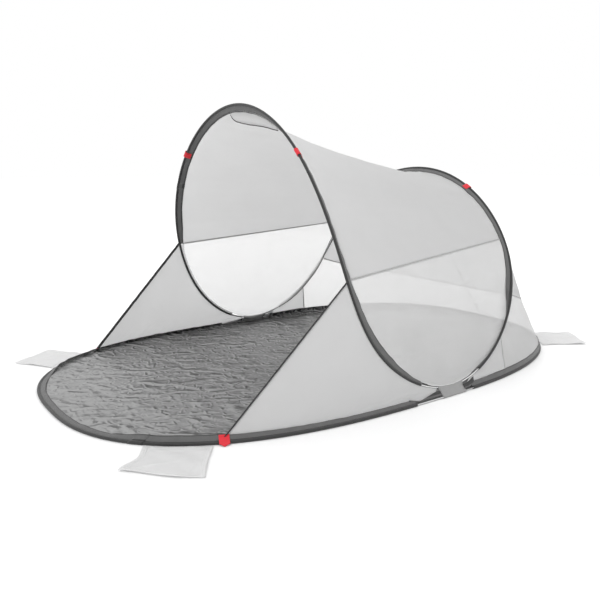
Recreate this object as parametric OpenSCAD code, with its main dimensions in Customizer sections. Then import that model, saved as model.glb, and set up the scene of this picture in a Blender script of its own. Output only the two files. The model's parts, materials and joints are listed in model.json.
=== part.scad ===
// Pop-up beach shelter. Two closed hoops of spring steel wire run in fabric sleeves: one lies on the
// ground round the floor sheet, the other is bent into a saddle with a high front arch and a lower
// rear arch. The two are bound together at the left and right. Fabric panels span between them.
// Millimetres, +Z up, the entrance faces -Y, the right side is +X. The origin is the middle of the
// footprint, at ground level.

/* [Ground hoop] */
// Width over the ground hoop
ground_w = 1380; // [1300:10:1500]
// Length over the ground hoop, front to rear
ground_l = 2200; // [2100:10:2400]
// Exponent of the superellipse that the ground hoop follows
ground_n = 2.6; // [2.4:0.1:2.8]

/* [Canopy hoop] */
// Height of the top of the front arch
front_arch_h = 1010; // [950:10:1100]

/* [Spring wire] */
// Diameter of both wires
wire_d = 4; // [3:0.5:5]
// Length of the crimped ferrule that joins the two ends of a wire
ferrule_l = 60; // [40:5:80]

/* [Sleeves] */
// Width of the sleeve tape, from the wire's middle to the stitched edge
tape_w = 27; // [24:1:36]
// Outer radius of the channel that holds the wire
channel_r = 4.8; // [4.6:0.1:5.5]
// Thickness of one ply of sleeve fabric
ply = 0.8; // [0.6:0.1:1]

/* [Fabric panels] */
// Thickness of a panel
panel_t = 0.8; // [0.6:0.1:1.2]
// Clear gap between a panel and the piece it is sewn to
seam_gap = 1; // [0.8:0.1:1.5]
// How far the canopy's ridge sags between the arches
canopy_sag = 46; // [20:1:60]
// How far the rear wall curves in between the rear arch and the ground
wall_sag = 25; // [0:1:35]
// Width of the binding on each gusset's free edge
trim_w = 6; // [5:1:10]

/* [Sand flaps] */
// Width of a sand flap along the ground hoop
flap_w = 205; // [160:5:240]
// Length of a sand flap, away from the hoop
flap_l = 192; // [150:2:220]
// Thickness of a sand flap
flap_t = 1.2; // [1:0.1:2]
// Width of the flap's folded hem
hem_w = 14; // [8:1:20]

/* [Webbing tabs] */
// Width of the red webbing on the ground hoop
tab_w = 32; // [25:1:38]
// Width of the red webbing on the arches
loop_w = 26; // [20:1:32]
// Length of a loop, from its sewn end to its point past the wire
tab_l = 36; // [32:1:45]

/* [Hidden] */

// Right half of the canopy hoop's control points, from the front arch's top (0) to the rear
// arch's top (8), for a 1380 x 2200 ground hoop and a front arch 1010 high
hoop_ctl = [
    [0, -360, 1060],
    [380, -370, 910],
    [610, -360, 560],
    [620, -245, 160],
    [675, 115, -40],
    [645, 455, 155],
    [565, 575, 455],
    [340, 575, 720],
    [0, 600, 810]
];
hoop_scale = [ground_w / 1380, ground_l / 2200, front_arch_h / 1010];
hoop_last = 8;
// Which way the sleeve tape leaves the wire at each control point
hoop_tape = [
    [0, 0.2, -1],
    [-0.2, 0.75, -0.6],
    [-0.55, 0.8, -0.1],
    [-0.1, 0.85, 0.4],
    [-0.5, 0, 1],
    [-0.55, 0.55, -0.6],
    [0, -1, 0.1],
    [0, -0.95, -0.3],
    [0, -0.75, -0.65]
];
// The ground sleeve's tape lies flat round the front, leans inwards along the sides and stands up at
// the rear: [y, angle]
ground_tape_rise = [[-1020, 8], [-950, 48], [-300, 30], [0, 27], [170, 45], [400, 75]];

wire_r = wire_d / 2;
wire_z = channel_r;
semi_x = ground_w / 2 - channel_r;
semi_y = ground_l / 2 - channel_r;

// Stations along the canopy hoop (0 front top, 4 lowest point, 8 rear top)
front_sleeve_end = 3.6;
rear_sleeve_end = 4.45;
window_top_front = 2.3;
window_top_rear = 6.2;
rear_gusset_end = 4.95;
front_tab_at = 1.15;
rear_tab_at = 7.08;
// Angles round the ground hoop (0 right side, 90 rear, -90 front)
ground_sleeve_gap = [-4, 11];
front_gusset_span = [-39, -5];
rear_gusset_span = [12, 22];
front_flap_at = -47;
rear_flap_at = 57;
rear_flap_skew = 35;
flap_gap = 2;
ground_tab_at = -39.5;

// The fold line runs through the lowest points of the canopy hoop
fold_y = hoop(4).y;
fold_split = 1.5;
side_wrap_l = 119;

// ---- vectors and curves ----
function unit(v) = v / norm(v);
function mix(a, b, f) = a + (b - a) * f;
function across(v, axis) = unit(v - (v * axis) * axis);
function flip(p) = [-p.x, p.y, p.z];
function ramp(n) = [for (i = [0 : n]) i / n];

// Values at the control points, mirrored to the left half, that is from 8 to 16 and below 0
function mirrored(list, i) =
    let (j = (i % (2 * hoop_last) + 2 * hoop_last) % (2 * hoop_last))
    j <= hoop_last ? list[j] : flip(list[2 * hoop_last - j]);
function hoop_knot(i) = let (p = mirrored(hoop_ctl, i)) [for (k = [0 : 2]) p[k] * hoop_scale[k]];
// The canopy hoop is a uniform cubic B-spline
function hoop(u) =
    let (i = floor(u), f = u - i, g = 1 - f)
    (pow(g, 3) * hoop_knot(i - 1)
        + (3 * pow(f, 3) - 6 * f * f + 4) * hoop_knot(i)
        + (3 * pow(g, 3) - 6 * g * g + 4) * hoop_knot(i + 1)
        + pow(f, 3) * hoop_knot(i + 2)) / 6;

// A frame is [place, along the tape, across the tape, along the wire]
function hoop_frame(u) =
    let (
        i = floor(u),
        along = unit(hoop(u + 0.02) - hoop(u - 0.02)),
        tape = across(mix(mirrored(hoop_tape, i), mirrored(hoop_tape, i + 1), u - i), along)
    )
    [hoop(u), tape, cross(along, tape), along];
function hoop_edge(u, d) = let (f = hoop_frame(u)) f[0] + d * f[1];

function ground(t, inset = 0) =
    let (c = cos(t), s = sin(t), r = pow(pow(abs(c), ground_n) + pow(abs(s), ground_n), -1 / ground_n))
    [(semi_x - inset) * c * r, (semi_y - inset) * s * r, wire_z];
function ground_out(t) = let (v = unit(ground(t + 0.5) - ground(t - 0.5))) [v.y, -v.x, 0];
function ground_frame(t) =
    let (
        along = unit(ground(t + 0.5) - ground(t - 0.5)),
        rise = lookup(ground(t).y * 2200 / ground_l, ground_tape_rise),
        tape = -cos(rise) * ground_out(t) + [0, 0, sin(rise)]
    )
    [ground(t), tape, cross(along, tape), along];
function ground_edge(t, d) = let (f = ground_frame(t)) f[0] + d * f[1];

// ---- solids from rows of points ----
// One ring of points: a profile of [along tape, across tape] set out in a frame
function ring_of(frame, profile) = [for (p = profile) frame[0] + p.x * frame[1] + p.y * frame[2]];
function disc(r, n) = [for (i = [0 : n - 1]) r * [cos(360 * i / n), sin(360 * i / n)]];
// A folded tape: a channel for the wire, and two plies that run out to the stitched edge
channel_steps = 6;
function sleeve_profile() =
    let (
        gap = ply - 0.1,
        out = ply + gap,
        inner = channel_r - ply,
        a = asin(out / channel_r),
        b = asin(gap / inner)
    )
    concat(
        [for (f = ramp(channel_steps)) let (w = mix(a, 360 - a, f)) channel_r * [cos(w), sin(w)]],
        [[tape_w, -out], [tape_w, -gap]],
        [for (f = ramp(channel_steps)) let (w = mix(360 - b, b, f)) inner * [cos(w), sin(w)]],
        [[tape_w, gap], [tape_w, out]]
    );
// Strips of that profile that run back along the other face of their ply, so that where the tape
// twists both faces are cut along the same diagonal and stay apart
sleeve_back = concat([for (i = [channel_steps + 2 : 2 * channel_steps + 2]) i], [2 * channel_steps + 5]);

// Skin over a row of rings that run the way the ring turns anticlockwise about. The strips that start
// at a ring's points in turned have their quads cut along the other diagonal.
module loft(rings, turned = []) {
    m = len(rings[0]);
    n = len(rings);
    sides = [for (k = [0 : n - 2]) for (i = [0 : m - 1])
        let (a = k * m + i, b = k * m + (i + 1) % m)
        each len(search(i, turned)) > 0
            ? [[a + m, b + m, a], [b + m, b, a]]
            : [[a + m, b + m, b], [a + m, b, a]]];
    first = [[for (i = [0 : m - 1]) i]];
    last = [[for (i = [m - 1 : -1 : 0]) (n - 1) * m + i]];
    polyhedron(points = [for (r = rings) each r], faces = concat(sides, first, last));
}

// A sheet of even thickness over a grid of points, moved off the grid by lift
module sheet(grid, lift = 0, thick = panel_t) {
    rows = len(grid);
    cols = len(grid[0]);
    function normal_at(i, j) = unit(cross(
        grid[min(i + 1, rows - 1)][j] - grid[max(i - 1, 0)][j],
        grid[i][min(j + 1, cols - 1)] - grid[i][max(j - 1, 0)]));
    function layer(h) = [for (i = [0 : rows - 1]) for (j = [0 : cols - 1])
        grid[i][j] + h * normal_at(i, j)];
    under = rows * cols;
    top = [for (i = [0 : rows - 2]) for (j = [0 : cols - 2])
        let (a = i * cols + j, b = a + cols)
        each [[a, a + 1, b + 1], [a, b + 1, b]]];
    bottom = [for (f = top) [f[2] + under, f[1] + under, f[0] + under]];
    rim = concat(
        [for (i = [0 : rows - 1]) i * cols],
        [for (j = [1 : cols - 1]) (rows - 1) * cols + j],
        [for (i = [rows - 2 : -1 : 0]) i * cols + cols - 1],
        [for (j = [cols - 2 : -1 : 1]) j]);
    edge = [for (k = [0 : len(rim) - 1])
        let (a = rim[k], b = rim[(k + 1) % len(rim)])
        each [[a, b, b + under], [a, b + under, a + under]]];
    polyhedron(
        points = concat(layer(lift + thick / 2), layer(lift - thick / 2)),
        faces = concat(top, bottom, edge));
}

// Grid of straight lines between two rails that have the same number of points
function ruled(rail_a, rail_b, steps) =
    [for (i = [0 : len(rail_a) - 1]) [for (f = ramp(steps)) mix(rail_a[i], rail_b[i], f)]];

module left_side() mirror([1, 0, 0]) children();
// Moves the hoops' own centre so that the origin is the middle of the footprint
footprint_rear = flap_corner(rear_flap_at, -1, rear_flap_skew, flap_l).y;
origin_y = (footprint_rear - ground_l / 2) / 2;
module place() translate([0, -origin_y, 0]) children();

// ---- wires, ferrules and sleeves ----
module wire_along(frames) color([0.75, 0.76, 0.78]) loft([for (f = frames) ring_of(f, disc(wire_r, 8))]);
module sleeve_along(frames) color([0.38, 0.38, 0.39]) loft(
    [for (f = frames) ring_of(f, sleeve_profile())], turned = sleeve_back);
function hoop_frames(a, b, steps) = [for (f = ramp(steps)) hoop_frame(mix(a, b, f))];
function ground_frames(a, b, steps) = [for (f = ramp(steps)) ground_frame(mix(a, b, f))];

// Where the fold line cuts the ground hoop, and half the cut as an angle and as a station
ground_fold = atan(fold_y / semi_y);
ground_fold_gap = fold_split / semi_y * 180 / PI;
hoop_fold_gap = 0.005;

module ground_hoop_front() place() wire_along(ground_frames(
    -180 - ground_fold + ground_fold_gap, ground_fold - ground_fold_gap, 48));
module ground_hoop_rear() place() wire_along(ground_frames(
    ground_fold + ground_fold_gap, 180 - ground_fold - ground_fold_gap, 44));
module canopy_hoop_front() place() wire_along(hoop_frames(-4 + hoop_fold_gap, 4 - hoop_fold_gap, 52));
rear_wire_step = (8 - 2 * hoop_fold_gap) / 48;
module canopy_hoop_rear() place() wire_along([for (k = [-24 : 24]) hoop_frame(8 + k * rear_wire_step)]);

module ground_sleeve_front() place() sleeve_along(ground_frames(
    -180 - ground_sleeve_gap[0], ground_sleeve_gap[0], 44));
module ground_sleeve_rear() place() sleeve_along(ground_frames(
    ground_sleeve_gap[1], 180 - ground_sleeve_gap[1], 42));
module front_arch_sleeve() place() sleeve_along(hoop_frames(-front_sleeve_end, front_sleeve_end, 48));
module rear_arch_sleeve() place() sleeve_along(hoop_frames(rear_sleeve_end, 16 - rear_sleeve_end, 64));

// A crimped tube round the butted ends of a wire
ferrule_wall = 0.8;
ferrule_fit = 0.15;
module ferrule_along(frames) color([0.6, 0.61, 0.63]) difference() {
    loft([for (f = frames) ring_of(f, disc(wire_r + ferrule_wall, 8))]);
    // the bore starts before the tube and ends after it
    loft([for (k = [0 : len(frames) - 1])
        let (f = frames[k], past = (k == 0 ? -1 : k == len(frames) - 1 ? 1 : 0) * f[3])
        [for (p = ring_of(f, disc(wire_r + ferrule_fit, 8))) p + past]]);
}
module ground_hoop_ferrule() place() {
    half = ferrule_l / 2 / semi_x * 180 / PI;
    ferrule_along(ground_frames(90 - half, 90 + half, 4));
}
// This one lies along the wire's own straight segments on both sides of the rear top
module canopy_hoop_ferrule() place() {
    top = hoop_frame(8);
    share = ferrule_l / 2 / norm(hoop(8 + rear_wire_step) - top[0]);
    ferrule_along([for (k = [-1 : 1]) mix(top, hoop_frame(8 + k * rear_wire_step), share)]);
}

// ---- side wraps, which bind the two hoops together ----
function ground_at_y(y) =
    let (q = abs(y) / semi_y)
    [semi_x * pow(1 - pow(q, ground_n), 1 / ground_n), y, wire_z];
// Station on the canopy hoop that has this y, by halving the part near its lowest point
function hoop_station(y, lo = 3.4, hi = 4.6, n = 12) =
    let (m = (lo + hi) / 2)
    n == 0 ? m : hoop(m).y < y ? hoop_station(y, m, hi, n - 1) : hoop_station(y, lo, m, n - 1);
function capsule(p, q, r) =
    let (a = atan2(q.x - p.x, q.z - p.z))
    concat(
        [for (f = ramp(4)) let (w = a - 90 + 180 * f) q + r * [sin(w), 0, cos(w)]],
        [for (f = ramp(4)) let (w = a + 90 + 180 * f) p + r * [sin(w), 0, cos(w)]]);
function wrap_rings(r, past = 0) = [for (f = ramp(8))
    let (y = fold_y + (f - 0.5) * (side_wrap_l + past), at = hoop(hoop_station(y)))
    capsule(ground_at_y(y), [at.x, y, at.z], r)];
wrap_t = 1.2;
module side_wrap() color([0.66, 0.66, 0.66]) difference() {
    loft(wrap_rings(channel_r));
    loft(wrap_rings(channel_r - wrap_t, 1));
}
module side_wrap_right() place() side_wrap();
module side_wrap_left() place() left_side() side_wrap();

// ---- canopy and side windows ----
// From a wire to the edge of the panel that is sewn to its sleeve
reach = tape_w + seam_gap;
// Half the gap for the seam tape between canopy and window, as a share of the window's height
tape_half = 0.012;
module canopy() place() color([0.82, 0.82, 0.82]) {
    steps = 14;
    sheet([for (k = [-steps : steps])
        let (
            s = k / steps,
            front = hoop_edge(s * (window_top_front - tape_half), reach),
            rear = hoop_edge(8 - s * (8 - window_top_rear - tape_half), reach)
        )
        [for (f = ramp(steps))
            mix(front, rear, f) - [0, 0, canopy_sag * sqrt(4 * f * (1 - f)) * cos(90 * s)]]]);
}

// Reach of the side window's edge from the wire: past the sleeve's end it closes in on the bare wire
bare_reach = 9;
// The window leaves the lower part of the rear arch at a sharp angle to the tape, so it starts
// further out there
rear_reach = reach + 2;
function window_reach(u) = lookup(u, [
    [front_sleeve_end + 0.02, reach], [front_sleeve_end + 0.15, bare_reach],
    [rear_sleeve_end - 0.15, bare_reach], [rear_sleeve_end - 0.02, rear_reach],
    [window_top_rear - 0.5, rear_reach], [window_top_rear, reach]]);
function window_front(s) = let (u = mix(window_top_front, 3.9, s)) hoop_edge(u, window_reach(u));
function window_rear(s) = let (u = mix(window_top_rear, 4.1, s)) hoop_edge(u, window_reach(u));
module window_tape() color([0.62, 0.62, 0.62]) {
    s = [0.75 * tape_half, 1.5 * tape_half];
    sheet(ruled([for (x = s) window_front(x)], [for (x = s) window_rear(x)], 16));
}
module side_window() color([0.92, 0.92, 0.92, 0.6]) {
    s = [for (f = ramp(24)) mix(2 * tape_half, 1, f)];
    sheet(ruled([for (x = s) window_front(x)], [for (x = s) window_rear(x)], 8));
}
module window_tape_right() place() window_tape();
module window_tape_left() place() left_side() window_tape();
module side_window_right() place() side_window();
module side_window_left() place() left_side() side_window();

// ---- front gussets and their bindings ----
// From a wire to the edge of a panel that is sewn to the outside of its sleeve
wire_clear = channel_r + 4.6;
function gusset_low(a) = ground_edge(mix(front_gusset_span[0], front_gusset_span[1], a), reach);
function gusset_high(a) =
    let (p = hoop(mix(window_top_front, front_sleeve_end, a)))
    p + wire_clear * unit(gusset_low(a) - p);
module front_gusset() color([0.82, 0.82, 0.82])
    sheet(ruled([for (a = ramp(12)) gusset_high(a)], [for (a = ramp(12)) gusset_low(a)], 8));
trim_t = 2.4;
module front_trim() color([0.22, 0.22, 0.23]) {
    along = unit(gusset_low(0) - gusset_high(0));
    out = across(gusset_high(0) - gusset_high(0.05) + gusset_low(0) - gusset_low(0.05), along);
    start = seam_gap + panel_t / 2;
    // the binding stops short of both sleeves
    ends = [gusset_high(0) + 5 * along, gusset_low(0) - 3 * along];
    sheet([for (w = [start, start + trim_w])
        [for (f = ramp(8)) mix(ends[0], ends[1], f) + w * out]], thick = trim_t);
}
module front_gusset_right() place() front_gusset();
module front_gusset_left() place() left_side() front_gusset();
module front_trim_right() place() front_trim();
module front_trim_left() place() left_side() front_trim();

// ---- rear wall ----
// A point of the wall: a runs from -1, left, to 1, right, and v from 0, arch, to 1, ground
function wall(a, v) =
    let (
        low = ground_edge(90 - a * (90 - rear_gusset_span[1]), reach),
        arch = hoop(8 - a * (8 - rear_gusset_end)),
        high = arch + wire_clear * unit(low - arch)
    )
    mix(high, low, v) - wall_sag * 4 * v * (1 - v) * (1 - a * a) * [0, 0.8, 0.6];
// The cross seam is 200 above the ground in the middle and rises to the arch at both sides
function seam_v(a) =
    let (high = wall(a, 0).z, low = wall(a, 1).z)
    max(0, (high - (200 + 150 * a * a)) / (high - low));
// Where the cross seam runs out into the arch, and half the gap at the seam, as shares of the wall
seam_side = 0.815;
seam_half = 0.006;
seam_tape_w = 12;
tape_lift = 1.9;
module rear_wall_top() place() color([0.82, 0.82, 0.82])
    sheet([for (k = [-12 : 12]) let (a = seam_side * k / 12)
        [for (f = ramp(8)) wall(a, mix(0, seam_v(a) - seam_half, f))]]);
module rear_window() place() color([0.92, 0.92, 0.92, 0.6])
    sheet([for (k = [-16 : 16]) let (a = 0.99 * k / 16)
        [for (f = ramp(6)) wall(a, mix(seam_v(a) + seam_half, 1, f))]]);
module rear_seam_tape() place() color([0.62, 0.62, 0.62])
    sheet([for (k = [-12 : 12])
        let (a = (seam_side - 0.02) * k / 12, share = seam_tape_w / norm(wall(a, 0) - wall(a, 1)))
        [for (f = [-0.5, 0.5]) wall(a, seam_v(a) + f * share)]], lift = tape_lift);
// The centre tape crosses over the cross seam's tape
module rear_centre_tape() place() color([0.7, 0.7, 0.7])
    sheet([for (a = [-seam_half, seam_half]) [for (f = ramp(10)) wall(a, mix(0.03, 0.97, f))]],
        lift = 2 * tape_lift);
module rear_gusset() color([0.82, 0.82, 0.82]) {
    span = rear_gusset_span;
    low = [for (f = ramp(4)) ground_edge(mix(span[0] + 1.5, span[1] - 0.3, f), reach)];
    // sewn to the outer face of the arch's channel, where its tape turns away
    high = [for (f = ramp(4))
        let (arch = hoop_frame(mix(rear_sleeve_end + 0.15, rear_gusset_end - 0.015, f)))
        arch[0] - (channel_r + 1.6) * arch[2]];
    sheet(ruled(high, low, 4));
}
module rear_gusset_right() place() rear_gusset();
module rear_gusset_left() place() left_side() rear_gusset();

// ---- floor sheet, in two pieces that meet at the fold line ----
floor_inset = channel_r + 3;
// The round part of each outline starts this many degrees past the fold line
floor_start = 0.2;
module floor_outline(a, b, y) linear_extrude(panel_t) polygon(concat(
    [for (f = ramp(48)) let (p = ground(mix(a, b, f), floor_inset)) [p.x, p.y]],
    [[-ground(ground_fold, floor_inset).x, y], [ground(ground_fold, floor_inset).x, y]]));
module floor_front() place() color([0.5, 0.5, 0.5])
    floor_outline(ground_fold - floor_start, -180 - ground_fold + floor_start, fold_y - fold_split);
module floor_rear() place() color([0.5, 0.5, 0.5]) mirror([1, 0, 0])
    floor_outline(ground_fold + floor_start, 180 - ground_fold - floor_start, fold_y + fold_split);

// ---- red webbing tabs ----
// A loop's outline in the tape's plane: square end on the tape, point past the wire
tab_end = tape_w - 5;
tab_point = 10;
module tab_outline() polygon([
    [tab_end, -loop_w / 2],
    [tab_end, loop_w / 2],
    [tab_end - tab_l + tab_point, loop_w / 2],
    [tab_end - tab_l, 0],
    [tab_end - tab_l + tab_point, -loop_w / 2]]);
module in_frame(f) multmatrix([
    [f[1].x, -f[3].x, f[2].x, f[0].x],
    [f[1].y, -f[3].y, f[2].y, f[0].y],
    [f[1].z, -f[3].z, f[2].z, f[0].z],
    [0, 0, 0, 1]]) children();
tab_off = channel_r + 0.7;
tab_ply = 1.6;
// A loop round the sleeve, closed past the wire
module loop_tab(f) color([0.85, 0.1, 0.15]) in_frame(f) difference() {
    translate([0, 0, -tab_off - tab_ply]) linear_extrude(2 * (tab_off + tab_ply)) tab_outline();
    translate([-tab_off, -loop_w, -tab_off]) cube([tab_l, 2 * loop_w, 2 * tab_off]);
}
// A single ply that lies on the ground sleeve's tape, bends over the wire and points down to the
// ground outside it: rows of [place along the tape, rise of the tape there, width]
over_wire = 22;
module flat_tab(t) color([0.85, 0.1, 0.15]) {
    f = ground_frame(t);
    out = ground_out(t);
    rise = asin(f[1].z);
    rows = [[tab_end, rise, tab_w], [2.5, rise, tab_w], [-2.5, over_wire, tab_w],
        [-tab_point, over_wire, tab_w], [-2.1 * tab_point, over_wire, 0.1 * tab_w]];
    sheet([for (r = rows)
        let (
            tape = -cos(r[1]) * out + [0, 0, sin(r[1])],
            middle = f[0] + r[0] * tape + (tab_off + tab_ply / 2) * cross(f[3], tape)
        )
        [for (side = [1, -1]) middle + side * r[2] / 2 * f[3]]], thick = tab_ply);
}
module front_tab_right() place() loop_tab(hoop_frame(front_tab_at));
module front_tab_left() place() left_side() loop_tab(hoop_frame(front_tab_at));
module rear_tab_right() place() loop_tab(hoop_frame(rear_tab_at));
module rear_tab_left() place() left_side() loop_tab(hoop_frame(rear_tab_at));
module ground_tab_right() place() flat_tab(ground_tab_at);
module ground_tab_left() place() left_side() flat_tab(ground_tab_at);

// ---- sand flaps ----
// A corner of a flap: side is -1 or 1 along the hoop, and out is its distance from the hinge line
function flap_corner(t, side, skew, out) =
    let (o = ground_out(t), along = [-o.y, o.x, 0])
    ground(t) + (channel_r + flap_gap + out) * o
        + (-side * flap_w / 2 + skew * out / flap_l) * along - [0, 0, wire_z];
module sand_flap(t, skew) color([0.93, 0.93, 0.93]) {
    corners = [for (c = [[-1, 0], [1, 0], [1, flap_l], [-1, flap_l]])
        let (p = flap_corner(t, c[0], skew, c[1])) [p.x, p.y]];
    middle = (corners[0] + corners[1] + corners[2] + corners[3]) / 4;
    inner = [for (c = corners) mix(c, middle, 2 * hem_w / flap_w)];
    linear_extrude(flap_t) polygon(corners);
    // the hem is folded over, so it is two plies thick
    linear_extrude(2 * flap_t) difference() {
        polygon(corners);
        polygon(inner);
    }
}
module sand_flap_front_right() place() sand_flap(front_flap_at, 0);
module sand_flap_front_left() place() left_side() sand_flap(front_flap_at, 0);
module sand_flap_rear_right() place() sand_flap(rear_flap_at, rear_flap_skew);
module sand_flap_rear_left() place() left_side() sand_flap(rear_flap_at, rear_flap_skew);

ground_hoop_front();
ground_hoop_rear();
canopy_hoop_front();
canopy_hoop_rear();
ground_hoop_ferrule();
canopy_hoop_ferrule();
ground_sleeve_front();
ground_sleeve_rear();
front_arch_sleeve();
rear_arch_sleeve();
side_wrap_right();
side_wrap_left();
canopy();
window_tape_right();
window_tape_left();
side_window_right();
side_window_left();
front_gusset_right();
front_gusset_left();
front_trim_right();
front_trim_left();
rear_wall_top();
rear_seam_tape();
rear_centre_tape();
rear_window();
rear_gusset_right();
rear_gusset_left();
floor_front();
floor_rear();
front_tab_right();
front_tab_left();
rear_tab_right();
rear_tab_left();
ground_tab_right();
ground_tab_left();
sand_flap_front_right();
sand_flap_front_left();
sand_flap_rear_right();
sand_flap_rear_left();
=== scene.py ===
"""Looks of the pop-up beach shelter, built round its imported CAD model.

Metres, Z up. The entrance faces -Y and the right side is +X. Sizes come from the frame, and the
canopy hoop's control points are those of the CAD source.
"""

import json
import math

import bpy
import numpy as np
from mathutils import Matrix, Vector, kdtree


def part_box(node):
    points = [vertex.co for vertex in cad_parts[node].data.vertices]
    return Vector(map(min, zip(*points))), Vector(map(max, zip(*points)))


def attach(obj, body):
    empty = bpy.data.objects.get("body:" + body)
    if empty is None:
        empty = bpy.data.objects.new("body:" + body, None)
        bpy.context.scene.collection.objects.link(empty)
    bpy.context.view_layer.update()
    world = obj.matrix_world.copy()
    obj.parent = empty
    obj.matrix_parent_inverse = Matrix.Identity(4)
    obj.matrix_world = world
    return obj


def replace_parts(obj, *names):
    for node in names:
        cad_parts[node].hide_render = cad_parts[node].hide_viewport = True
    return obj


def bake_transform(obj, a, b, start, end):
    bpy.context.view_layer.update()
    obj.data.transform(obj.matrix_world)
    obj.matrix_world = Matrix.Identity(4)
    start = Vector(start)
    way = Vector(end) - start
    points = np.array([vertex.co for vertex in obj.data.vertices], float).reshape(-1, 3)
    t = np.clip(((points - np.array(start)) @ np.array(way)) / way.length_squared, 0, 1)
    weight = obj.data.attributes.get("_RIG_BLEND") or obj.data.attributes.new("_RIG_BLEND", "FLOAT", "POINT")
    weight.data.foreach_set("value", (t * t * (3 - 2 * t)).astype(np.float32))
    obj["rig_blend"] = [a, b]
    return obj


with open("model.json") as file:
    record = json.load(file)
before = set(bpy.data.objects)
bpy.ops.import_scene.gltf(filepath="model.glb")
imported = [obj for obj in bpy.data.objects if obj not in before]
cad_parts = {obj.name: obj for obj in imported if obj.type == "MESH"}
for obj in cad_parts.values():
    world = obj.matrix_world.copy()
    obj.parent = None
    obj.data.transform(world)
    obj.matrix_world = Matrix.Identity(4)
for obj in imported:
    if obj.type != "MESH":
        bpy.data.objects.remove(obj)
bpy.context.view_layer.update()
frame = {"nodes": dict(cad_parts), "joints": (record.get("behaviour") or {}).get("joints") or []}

MM = 0.001
SIDES = {"right": 1, "left": -1}


# ---- camera, first ----
CAMERA_AT = Vector((2.155, -1.68, 0.81))
CAMERA_AZIMUTH = math.radians(54.32)
CAMERA_DOWN = math.radians(11.96)
CAMERA_LENS = 39.4


def aimed(name, data, at, towards):
    """A camera or a lamp that looks along towards."""
    thing = bpy.data.objects.new(name, data)
    bpy.context.collection.objects.link(thing)
    thing.location = at
    thing.rotation_mode = "QUATERNION"
    thing.rotation_quaternion = Vector(towards).to_track_quat("-Z", "Y")
    return thing


def make_camera():
    data = bpy.data.cameras.new("camera")
    data.lens = CAMERA_LENS
    data.clip_end = 100
    flat = math.cos(CAMERA_DOWN)
    forward = (-math.sin(CAMERA_AZIMUTH) * flat, math.cos(CAMERA_AZIMUTH) * flat, -math.sin(CAMERA_DOWN))
    bpy.context.scene.camera = aimed("camera", data, CAMERA_AT, forward)


make_camera()


# ---- sizes read from the frame ----
wire_front, wire_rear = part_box("ground_hoop_front"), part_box("ground_hoop_rear")
WIRE_R = (wire_front[1].z - wire_front[0].z) / 2
CHANNEL_R = (wire_front[1].z + wire_front[0].z) / 2
SEMI_X = (wire_front[1].x - wire_front[0].x) / 2 - WIRE_R
SEMI_Y = (wire_rear[1].y - wire_front[0].y) / 2 - WIRE_R
MIDDLE = np.array([0, (wire_rear[1].y + wire_front[0].y) / 2, 0])
ARCH_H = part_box("canopy_hoop_front")[1].z - WIRE_R
FOLD = next(j for j in frame["joints"] if j["name"] == "book_fold")["pos_m"]


# ---- sizes of the fabric, as in the CAD source ----
# stations on the canopy hoop run from 0 to 16, and on the ground hoop they are degrees
TAPE_W = 27 * MM
PLY = 0.6 * MM
TUCK = 22 * MM
BARE_REACH = 9 * MM
CANOPY_SAG = 46 * MM
WALL_SAG = 25 * MM
FRONT_SLEEVE_END = 3.6
REAR_SLEEVE_END = 4.45
WINDOW_TOP_FRONT = 2.3
WINDOW_TOP_REAR = 6.2
REAR_GUSSET_END = 4.95
GAP_FRONT = -4
GAP_REAR = 11
FRONT_GUSSET = (-39, -5)
REAR_GUSSET = (12, 22)

# control points of the canopy hoop's right half, and the tape's direction at each
HOOP_CONTROL = [
    (0, -0.36, 1.06), (0.38, -0.37, 0.91), (0.61, -0.36, 0.56), (0.62, -0.245, 0.16),
    (0.675, 0.115, -0.04), (0.645, 0.455, 0.155), (0.565, 0.575, 0.455), (0.34, 0.575, 0.72),
    (0, 0.6, 0.81),
]
HOOP_TAPE = [
    (0, 0.2, -1), (-0.2, 0.75, -0.6), (-0.55, 0.8, -0.1), (-0.1, 0.85, 0.4), (-0.5, 0, 1),
    (-0.55, 0.55, -0.6), (0, -1, 0.1), (0, -0.95, -0.3), (0, -0.75, -0.65),
]
LAST = len(HOOP_CONTROL) - 1
CONTROL_SIZE = (0.69, 1.1, 1.01)
GROUND_POWER = 2.6
# degrees by which the ground tape rises, at distances behind the middle
TAPE_RISE = ([-1.02, -0.95, -0.3, 0, 0.17, 0.4], [8, 48, 30, 27, 45, 75])


# ---- vectors ----
def unit(v):
    return v / np.linalg.norm(v, axis=-1, keepdims=True)


def mix(a, b, f):
    return a + (b - a) * f


def dot(a, b):
    return (a * b).sum(-1, keepdims=True)


def smooth(x, low=0.0, high=1.0):
    x = np.clip((x - low) / (high - low), 0, 1)
    return x * x * (3 - 2 * x)


def all_round(points):
    """Right half, from the front top to the rear top, made into the whole ring."""
    ring = np.array(points, float)
    return np.concatenate([ring, ring[LAST - 1:0:-1] * (-1, 1, 1)])


# ---- random shapes, each with its own seed ----
def wavy(x, wavelength, seed):
    """A smooth random line, about -1 to 1, that depends on x alone."""
    random = np.random.default_rng(seed)
    total = 0
    for share in (0.6, 0.83, 1.0, 1.37, 1.9):
        total = total + np.sin(2 * np.pi * x / (wavelength * share) + random.uniform(0, 2 * np.pi))
    return total / 3


def rolling(x, y, wavelength, seed, stretch=1.0, turn=0.0, waves=20):
    """A smooth random surface, about -1 to 1. Its waves are stretch times longer along turn."""
    random = np.random.default_rng(seed)
    along = x * math.cos(turn) + y * math.sin(turn)
    over = (y * math.cos(turn) - x * math.sin(turn)) * stretch
    total = 0
    for _ in range(waves):
        angle, phase = random.uniform(0, 2 * np.pi, 2)
        pace = 2 * np.pi * stretch ** -0.5 / (wavelength * random.uniform(0.75, 1.35))
        total = total + np.cos(pace * (along * math.cos(angle) + over * math.sin(angle)) + phase)
    return total / math.sqrt(waves) / 1.4


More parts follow.
